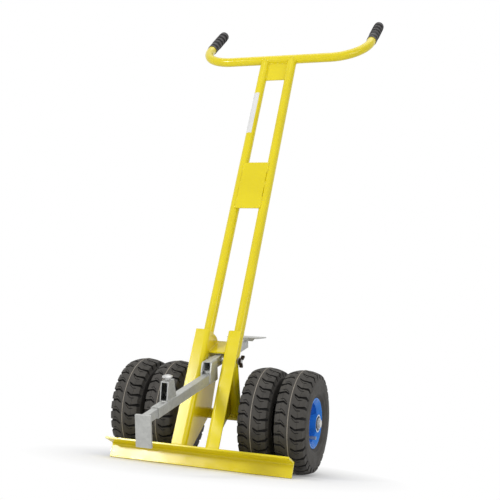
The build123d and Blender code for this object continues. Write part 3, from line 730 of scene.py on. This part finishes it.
def cheek_weld_runs(side):
    """Beads round a cheek plate, and along the same side of the lock."""
    flank, face = side * (bar_x + 0.1), side * (bar_x + 1.9)
    front, back, under = cheek_front - 0.2, cheek_back + 0.3, cheek_low - 0.2
    lever_end, lever_under = -72.0, 1.5 - bar_z
    arm_front, arm_back = arm_top - 1.5, arm_top - 2.5
    low_end, front_end, back_end = cheek_low + bead_short, cheek_front + bead_short, cheek_back - bead_short
    runs = [Run([(face, back_end, cheek_high), (face, lever_end, cheek_high)], 0.85)]
    for high, low in ((cheek_high - bead_short, lever_under), (arm_back, low_end)):
        runs.append(Run([(flank, back, high), (flank, back, low)], 0.85))
    runs.append(Run([(flank, front, arm_front), (flank, front, low_end)], 0.85))
    runs.append(Run([(face, front_end, under), (face, back_end, under)], 0.7))
    lock_edge, lock_seat, lock_end = side * (lock_x - 0.4), arm_top - 0.1, lock_half - 3 * bead_short
    lock_front, lock_back = lock_y - lock_end, lock_y + lock_end
    runs.append(Run([(lock_edge, lock_front, lock_seat), (lock_edge, lock_back, lock_seat)], 0.6))
    return runs


def clamp_weld_runs():
    """The clamp's beads, with the pivot at the origin and the arm level along -Y."""
    lock_end, lock_seat, lock_reach = lock_x - 3 * bead_short, arm_top + 0.1, lock_half + 0.3
    pedal_end, pedal_seat = bar_x - 2 * bead_short, bar_z + 0.1
    runs = cheek_weld_runs(-1) + cheek_weld_runs(1)
    for y in (lock_y - lock_reach, lock_y + lock_reach):
        runs.append(Run([(-lock_end, y, lock_seat), (lock_end, y, lock_seat)], 0.7))
    for y in (pedal_front - 0.2, pedal_front + pedal_sheet + 0.2):
        runs.append(Run([(-pedal_end, y, pedal_seat), (pedal_end, y, pedal_seat)], 0.9))
    return runs


def jaw_weld_runs():
    """The bead round the inner arm where it meets the jaw."""
    sunk = 0.1
    side, seam = inner_arm_x - sunk, inner_arm_end + sunk
    low, high = arm_middle - inner_arm_z + sunk, arm_middle + inner_arm_z - sunk
    corners = [(-side, seam, low), (side, seam, low), (side, seam, high), (-side, seam, high)]
    return [Run(corners, 0.62, closed=True)]


# Label

def label_mesh():
    """A blank label wrapped round the outside of the left stem."""
    steps = 24
    reach = tube_radius + label_thick
    section = [(reach, label_low), (reach, label_high), (tube_radius, label_high), (tube_radius, label_low)]
    spots = []
    for k in range(steps + 1):
        turn = label_start + (label_end - label_start) * k / steps
        for radius, z in section:
            spots.append(at_rest(upright, (-stem_x + radius * sin(turn), stem_y - radius * cos(turn), z)))
    faces = [(0, 1, 2, 3), tuple(4 * steps + i for i in (3, 2, 1, 0))]
    for k in range(steps):
        for i in range(4):
            following = (i + 1) % 4
            faces.append((4 * k + i, 4 * k + 4 + i, 4 * k + 4 + following, 4 * k + following))
    mesh = bpy.data.meshes.new("label")
    mesh.from_pydata(spots, [], faces)
    mesh.shade_smooth()
    mesh.set_sharp_from_angle(angle=radians(40))
    return mesh


# Tyre

def arc_through(first, middle, last, count):
    """Points and outward normals along the circle through three points."""
    (ax, ay), (bx, by), (cx, cy) = first, middle, last
    twice = 2 * (ax * (by - cy) + bx * (cy - ay) + cx * (ay - by))
    a, b, c = ax * ax + ay * ay, bx * bx + by * by, cx * cx + cy * cy
    ux = (a * (by - cy) + b * (cy - ay) + c * (ay - by)) / twice
    uy = (a * (cx - bx) + b * (ax - cx) + c * (bx - ax)) / twice
    radius = hypot(ax - ux, ay - uy)
    start, end = atan2(ay - uy, ax - ux), atan2(cy - uy, cx - ux)
    turns = [start + (end - start) * k / count for k in range(count + 1)]
    return [(ux + radius * cos(t), uy + radius * sin(t), cos(t), sin(t)) for t in turns]


def part_way(value, start, end):
    """How far a value has come from start to end."""
    return min(1.0, max(0.0, (value - start) / (end - start)))


def tyre_lines(sizes):
    """The lines of half a tyre, from the seam out over the tread, down the wall and back inside."""
    seam_crown = 0.7
    top = tyre_radius - sizes.seam_height
    drop = top - shoulder[1]
    bend = (shoulder[0] ** 2 + drop ** 2) / (2 * drop)
    half_seam = sizes.seam_width / 2
    seam_profile = [(0.0, 0, 0, 1), (half_seam * seam_crown, 0, 0, 1), (half_seam, 0, 0, 0)]
    lines = []
    for across, groove, sipe, rise in seam_profile + tread_profile:
        turn = across / bend
        lines.append(Line(bend * sin(turn), top - bend + bend * cos(turn), sin(turn), cos(turn),
                          across, groove, sipe, rise * sizes.seam_height))
    edge = lines[-1]
    for along, groove in shoulder_profile:
        lines.append(Line(edge.x + along * (lip[0] - edge.x), edge.radius + along * (lip[1] - edge.radius),
                          *shoulder_facing, edge.across, groove, 0, 0))
    wall = arc_through(lip, belly, rim_seat, wall_steps)
    lines += [Line(*wall[step], edge.across, 0, 0, rise) for step, rise in wall_profile.items()]
    lines += [Line(x, radius, 0.0, 0.0, edge.across * x / shoulder[0], 0, 0, 0) for x, radius in lining]
    return lines


def pitch_rows(sizes, pitch, reach):
    """How far round each row of a tread pitch lies at one reach from the seam, and what it is."""
    flare = sizes.groove_mouth - sizes.groove_width
    wide = (sizes.groove_width + flare * part_way(reach, *mouth_span)) / 2
    apart = wide + sipe_near + sipe_spread * part_way(reach, *sipe_span)
    thin = sizes.sipe_width / 2
    return [(-wide, "block"), (groove_wall - wide, "groove"), (wide - groove_wall, "groove"), (wide, "block"),
            (apart - thin, "block"), (apart, "upper"), (apart + thin, "block"), (pitch / 2, "block"),
            (pitch - apart - thin, "block"), (pitch - apart, "lower"), (pitch - apart + thin, "block")]


def tyre_spots(sizes, lines, turned):
    """The corners of a tyre round X, line by line, and which of them lie deep in a cut. A right groove runs
    down from the seam and a little up again to the shoulder, and a left one is the same turned half round."""
    pitch = 2 * pi * tyre_radius / sizes.tread_pitches
    spots, deep = [], []
    for line in lines:
        side = 1 if line.across > 0 else -1
        reach = abs(line.across)
        depths = {"groove": line.groove * sizes.groove_depth,
                  "lower" if side > 0 else "upper": line.sipe * sizes.sipe_depth}
        climb = groove_climb * part_way(reach, *climb_span) - groove_fall * part_way(reach, *fall_span)
        rows = pitch_rows(sizes, pitch, reach)
        for k in range(sizes.tread_pitches):
            for offset, kind in rows:
                cut = depths.get(kind, 0.0)
                turn = turned + (k * pitch + side * climb + offset) / tyre_radius
                radius = line.radius + line.nr * (line.rise - cut)
                spots.append((line.x + line.nx * (line.rise - cut), -radius * cos(turn), radius * sin(turn)))
                deep.append(cut > shaded_depth)
    return spots, deep


def tyre_mesh(name, sizes, turned):
    """One tyre, whose faces take the first finish, or the second, painted shade, in a groove, or the third, a
    painted highlight, on the seam.
    """
    right = tyre_lines(sizes)
    left = [line._replace(x=-line.x, nx=-line.nx, across=-line.across) for line in right[1:-1]]
    lines = right + left[::-1]
    spots, deep = tyre_spots(sizes, lines, turned)
    rows = len(spots) // len(lines)
    faces = []
    for c in range(len(lines)):
        following = (c + 1) % len(lines)
        for r in range(rows):
            after = (r + 1) % rows
            faces.append((c * rows + r, c * rows + after, following * rows + after, following * rows + r))
    mesh = bpy.data.meshes.new(name)
    mesh.from_pydata(spots, [], faces)
    # The seam's bands take the painted highlight.
    seam_bands = (0, 1, len(lines) - 2, len(lines) - 1)
    for i, face in enumerate(mesh.polygons):
        if i // rows in seam_bands:
            face.material_index = 2
        # Faces deep in a cut take the painted shade of the grooves.
        elif sum(deep[corner] for corner in face.vertices) >= 2:
            face.material_index = 1
    build = bmesh.new()
    build.from_mesh(mesh)
    bmesh.ops.recalc_face_normals(build, faces=build.faces)
    build.to_mesh(mesh)
    build.free()
    mesh.shade_smooth()
    mesh.set_sharp_from_angle(angle=radians(32))
    return mesh


# Operators

class TROLLEY_OT_paint_frame(bpy.types.Operator):
    """Powder coats the frame and its welds, and wraps the label round its stem"""
    bl_idname = "trolley.paint_frame"
    bl_label = "Paint the frame"

    def execute(self, context):
        colours, sizes = context.scene.trolley_colours, context.scene.trolley_sizes
        yellow = paint_finish("yellow powder coat", colours.yellow, colours.yellow_shade, roughness=0.16)
        plates = ("toe_angle", "left_leg", "right_leg", "cross_plate", "middle_plate", "top_plate")
        for name in nodes_with("yellow_paint"):
            dress(name, yellow, sizes.plate_edge if name in plates else 0.0)
        weld_piece("frame_welds", frame_weld_runs(), upright, sizes, yellow, "frame")
        paper = paint_finish("label", colours.label, shaded(colours.label, 0.95), roughness=0.4)
        new_piece("label", label_mesh(), [paper], "frame")
        return {"FINISHED"}


class TROLLEY_OT_galvanise_clamp(bpy.types.Operator):
    """Galvanises the lever, arms, jaw, pedal and lock, and their welds"""
    bl_idname = "trolley.galvanise_clamp"
    bl_label = "Galvanise the clamp"

    def execute(self, context):
        colours, sizes = context.scene.trolley_colours, context.scene.trolley_sizes
        crystals = colours.galvanised, colours.galvanised_dark
        dipped = galvanised_finish("galvanised steel", *crystals)
        # Inside the lock's box the galvanising is painted with shade.
        boxed = galvanised_finish("galvanised lock", *crystals, inside=colours.lock_inside_shade)
        plates = ("left_cheek", "right_cheek", "arm_packer", "jaw_plate", "foot_pedal", "lock_housing")
        for name in nodes_with("galvanised_steel"):
            dress(name, boxed if name == "lock_housing" else dipped,
                  sizes.plate_edge if name in plates else sizes.sheet_edge)
        weld_piece("clamp_welds", clamp_weld_runs(), level, sizes, dipped, "clamp")
        weld_piece("jaw_weld", jaw_weld_runs(), level, sizes, dipped, "sliding_arm")
        return {"FINISHED"}


class TROLLEY_OT_mould_tyres(bpy.types.Operator):
    """Moulds four tyres with grooves, sipes, a seam and ringed walls, and their tubes"""
    bl_idname = "trolley.mould_tyres"
    bl_label = "Mould the tyres"

    def execute(self, context):
        colours, sizes = context.scene.trolley_colours, context.scene.trolley_sizes
        # The second finish is painted shade in the grooves, and the third a painted highlight on the seam.
        finishes = [
            rubber_finish("tyre rubber", colours.tyre, colours.tyre_dust, roughness=0.72),
            rubber_finish("painted groove shade", shaded(colours.groove, 0.6), colours.groove, roughness=0.85),
            rubber_finish("painted seam highlight", shaded(colours.seam, 0.8), colours.seam, roughness=0.8)]
        for wheel, turned in tread_turns.items():
            low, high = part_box(wheel + "_tyre")
            mesh = tyre_mesh(wheel + "_tread", sizes, radians(turned))
            middle = ((low.x + high.x) / 2, axle.y, axle.z)
            piece = new_piece(wheel + "_tread", mesh, finishes, wheel + "_wheel", middle)
            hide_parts(wheel + "_tyre")
        valved = valve_finish("tube rubber and valve", colours.tube_rubber, colours.valve)
        dress_all("tube_rubber", valved)
        return {"FINISHED"}


class TROLLEY_OT_paint_rims(bpy.types.Operator):
    """Paints both halves of each rim, leaves the hub ends bare and paints shade on the sides between twin tyres"""
    bl_idname = "trolley.paint_rims"
    bl_label = "Paint the rims"

    def execute(self, context):
        colours = context.scene.trolley_colours
        blue = rim_finish("blue rim paint", colours.blue, colours.hub_edge, colours.rim_twin_shade)
        dress_all("blue_paint", blue)
        return {"FINISHED"}


class TROLLEY_OT_fit_grips(bpy.types.Operator):
    """Gives both hand grips their rubber, with painted highlights in bands round them"""
    bl_idname = "trolley.fit_grips"
    bl_label = "Fit the grips"

    def execute(self, context):
        colours = context.scene.trolley_colours
        rubber = grip_finish("grip rubber", colours.grip, colours.grip_highlight)
        dress_all("grip_rubber", rubber)
        return {"FINISHED"}


class TROLLEY_OT_plate_fasteners(bpy.types.Operator):
    """Zinc plates the axle and fasteners, gives the bearings and spring a very dark steel, and blackens the wing
    nut
    """
    bl_idname = "trolley.plate_fasteners"
    bl_label = "Plate the fasteners"

    def execute(self, context):
        colours, sizes = context.scene.trolley_colours, context.scene.trolley_sizes
        zinc = zinc_finish("zinc plate", colours.zinc, shade=0.85, roughness=0.32)
        near_black_steel = zinc_finish("bearing steel", colours.bearing, shade=0.7, roughness=0.4)
        dark = zinc_finish("blackened steel", colours.dark_steel, shade=0.7, roughness=0.45)
        for name in nodes_with("zinc_steel"):
            finish = near_black_steel if name.endswith("bearings") or name == "lock_spring" else zinc
            dress(name, finish, sizes.sheet_edge if name.endswith(("bolt", "bolts")) else 0.0)
        dress_all("dark_steel", dark, sizes.plate_edge)
        self.free_spring()
        return {"FINISHED"}

    def free_spring(self):
        """Gives the spring a mesh of its own."""
        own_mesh(frame["nodes"]["lock_spring"])


class TROLLEY_OT_set_stage(bpy.types.Operator):
    """Sets out the pale floor, the soft light and the camera"""
    bl_idname = "trolley.set_stage"
    bl_label = "Set the stage"

    def execute(self, context):
        colours, stage = context.scene.trolley_colours, context.scene.trolley_stage
        self.lay_floor(colours)
        self.light_surround(stage)
        self.hang_lamp("key light", place=(-1.68, -2.45, 1.55), aim=0.4, width=0.7, power=stage.key_power)
        self.hang_lamp("fill light", place=(2.4, -1.2, 1.0), aim=0.3, width=1.6, power=stage.fill_power)
        self.hang_lamp("top light", place=(0.2, 0.1, 3.0), aim=0.3, width=2.2, power=stage.top_power)
        self.place_camera(stage)
        context.scene.view_settings.view_transform = "Standard"
        return {"FINISHED"}

    def lay_floor(self, colours):
        """A wide floor that takes the shadow near the trolley and turns plain white further off."""
        reach = 14.0
        shadow_reach = (0.36, 0.30, 1.0)
        fade_start, fade_end = 0.5, 1.4
        mesh = bpy.data.meshes.new("floor")
        mesh.from_pydata([(-reach, -reach, 0), (reach, -reach, 0), (reach, reach, 0), (-reach, reach, 0)], [],
                         [(0, 1, 2, 3)])
        material = bpy.data.materials.new("pale floor")
        material.use_nodes = True
        tree = material.node_tree
        tree.nodes.clear()
        matt = tree.nodes.new("ShaderNodeBsdfDiffuse")
        matt.inputs["Color"].default_value = (*colours.floor, 1.0)
        white = tree.nodes.new("ShaderNodeEmission")
        place = tree.nodes.new("ShaderNodeTexCoord")
        round_trolley = tree.nodes.new("ShaderNodeVectorMath")
        round_trolley.operation = "DIVIDE"
        round_trolley.inputs[1].default_value = shadow_reach
        tree.links.new(place.outputs["Object"], round_trolley.inputs[0])
        far = tree.nodes.new("ShaderNodeVectorMath")
        far.operation = "LENGTH"
        tree.links.new(round_trolley.outputs["Vector"], far.inputs[0])
        fade = spread(tree, far.outputs["Value"], low=0.0, high=1.0, start=fade_start, end=fade_end)
        self.show_white(tree, reckon(tree, "MULTIPLY", fade, self.seen_rays(tree)), matt.outputs["BSDF"],
                        white.outputs["Emission"], tree.nodes.new("ShaderNodeOutputMaterial"))
        mesh.materials.append(material)
        new_object("floor", mesh)

    def light_surround(self, stage):
        """Even light from all round, which the camera sees as white."""
        world = bpy.data.worlds.new("studio")
        bpy.context.scene.world = world
        world.use_nodes = True
        tree = world.node_tree
        even, white = tree.nodes["Background"], tree.nodes.new("ShaderNodeBackground")
        for light in (even, white):
            light.inputs["Color"].default_value = (1.0, 1.0, 1.0, 1.0)
        even.inputs["Strength"].default_value = stage.surround
        self.show_white(tree, self.seen_rays(tree), even.outputs["Background"], white.outputs["Background"],
                        tree.nodes["World Output"])

    def seen_rays(self, tree):
        """One for rays from the camera, from gloss and through glass, and nought for the rest."""
        path = tree.nodes.new("ShaderNodeLightPath")
        mirrored = reckon(tree, "MAXIMUM", path.outputs["Is Glossy Ray"], path.outputs["Is Transmission Ray"])
        return reckon(tree, "MAXIMUM", path.outputs["Is Camera Ray"], mirrored)

    def show_white(self, tree, factor, plain, white, output):
        """Shows a white shader instead of a plain one where a factor is one."""
        mixed = tree.nodes.new("ShaderNodeMixShader")
        tree.links.new(factor, mixed.inputs["Fac"])
        tree.links.new(plain, mixed.inputs[1])
        tree.links.new(white, mixed.inputs[2])
        tree.links.new(mixed.outputs["Shader"], output.inputs["Surface"])

    def hang_lamp(self, name, place, aim, width, power):
        """A soft square lamp that points at the trolley's middle line; aim is the height there."""
        lamp = bpy.data.lights.new(name, "AREA")
        lamp.size = width
        lamp.energy = power
        holder = new_object(name, lamp)
        holder.location = place
        ahead = Vector((0.0, 0.0, aim)) - Vector(place)
        holder.rotation_euler = ahead.to_track_quat("-Z", "Y").to_euler()

    def place_camera(self, stage):
        """The camera at the photograph's viewing angle."""
        turn, tilt, roll = stage.heading, stage.tilt, stage.roll
        level_right = Vector((cos(turn), sin(turn), 0.0))
        level_ahead = Vector((-sin(turn), cos(turn), 0.0))
        above = Vector((0.0, 0.0, 1.0))
        ahead = cos(tilt) * level_ahead + sin(tilt) * above
        up = cos(tilt) * above - sin(tilt) * level_ahead
        right = cos(roll) * level_right + sin(roll) * up
        up = cos(roll) * up - sin(roll) * level_right
        camera = bpy.data.cameras.new("camera")
        camera.lens = stage.lens
        camera.sensor_width = 36.0
        holder = new_object("camera", camera)
        turned = Matrix((right, up, -ahead)).transposed()
        holder.matrix_world = Matrix.Translation(axle + Vector(stage.camera_place)) @ turned.to_4x4()
        bpy.context.scene.camera = holder


class TROLLEY_PT_panel(bpy.types.Panel):
    """Lists the trolley's jobs, sizes and colours"""
    bl_idname = "TROLLEY_PT_panel"
    bl_label = "Slab transport trolley"
    bl_space_type = "VIEW_3D"
    bl_region_type = "UI"
    bl_category = "Trolley"

    def draw(self, context):
        for job in jobs:
            self.layout.operator(job.bl_idname)
        for name in groups:
            group = getattr(context.scene, name)
            box = self.layout.box()
            for setting in group.__annotations__:
                box.prop(group, setting)


jobs = (TROLLEY_OT_paint_frame, TROLLEY_OT_galvanise_clamp, TROLLEY_OT_mould_tyres, TROLLEY_OT_paint_rims,
        TROLLEY_OT_fit_grips, TROLLEY_OT_plate_fasteners, TROLLEY_OT_set_stage)
groups = {"trolley_sizes": TrolleySizes, "trolley_colours": TrolleyColours, "trolley_stage": TrolleyStage}
classes = (*groups.values(), *jobs, TROLLEY_PT_panel)


def register():
    """Adds the settings, the operators and the panel."""
    for item in classes:
        bpy.utils.register_class(item)
    for name, group in groups.items():
        setattr(bpy.types.Scene, name, PointerProperty(type=group))


def unregister():
    """Takes them away again."""
    for name in groups:
        delattr(bpy.types.Scene, name)
    for item in reversed(classes):
        bpy.utils.unregister_class(item)


def main():
    """Dresses the trolley."""
    register()
    bpy.ops.trolley.paint_frame()
    bpy.ops.trolley.galvanise_clamp()
    bpy.ops.trolley.mould_tyres()
    bpy.ops.trolley.paint_rims()
    bpy.ops.trolley.fit_grips()
    bpy.ops.trolley.plate_fasteners()
    bpy.ops.trolley.set_stage()


if __name__ == "__main__":
    main()
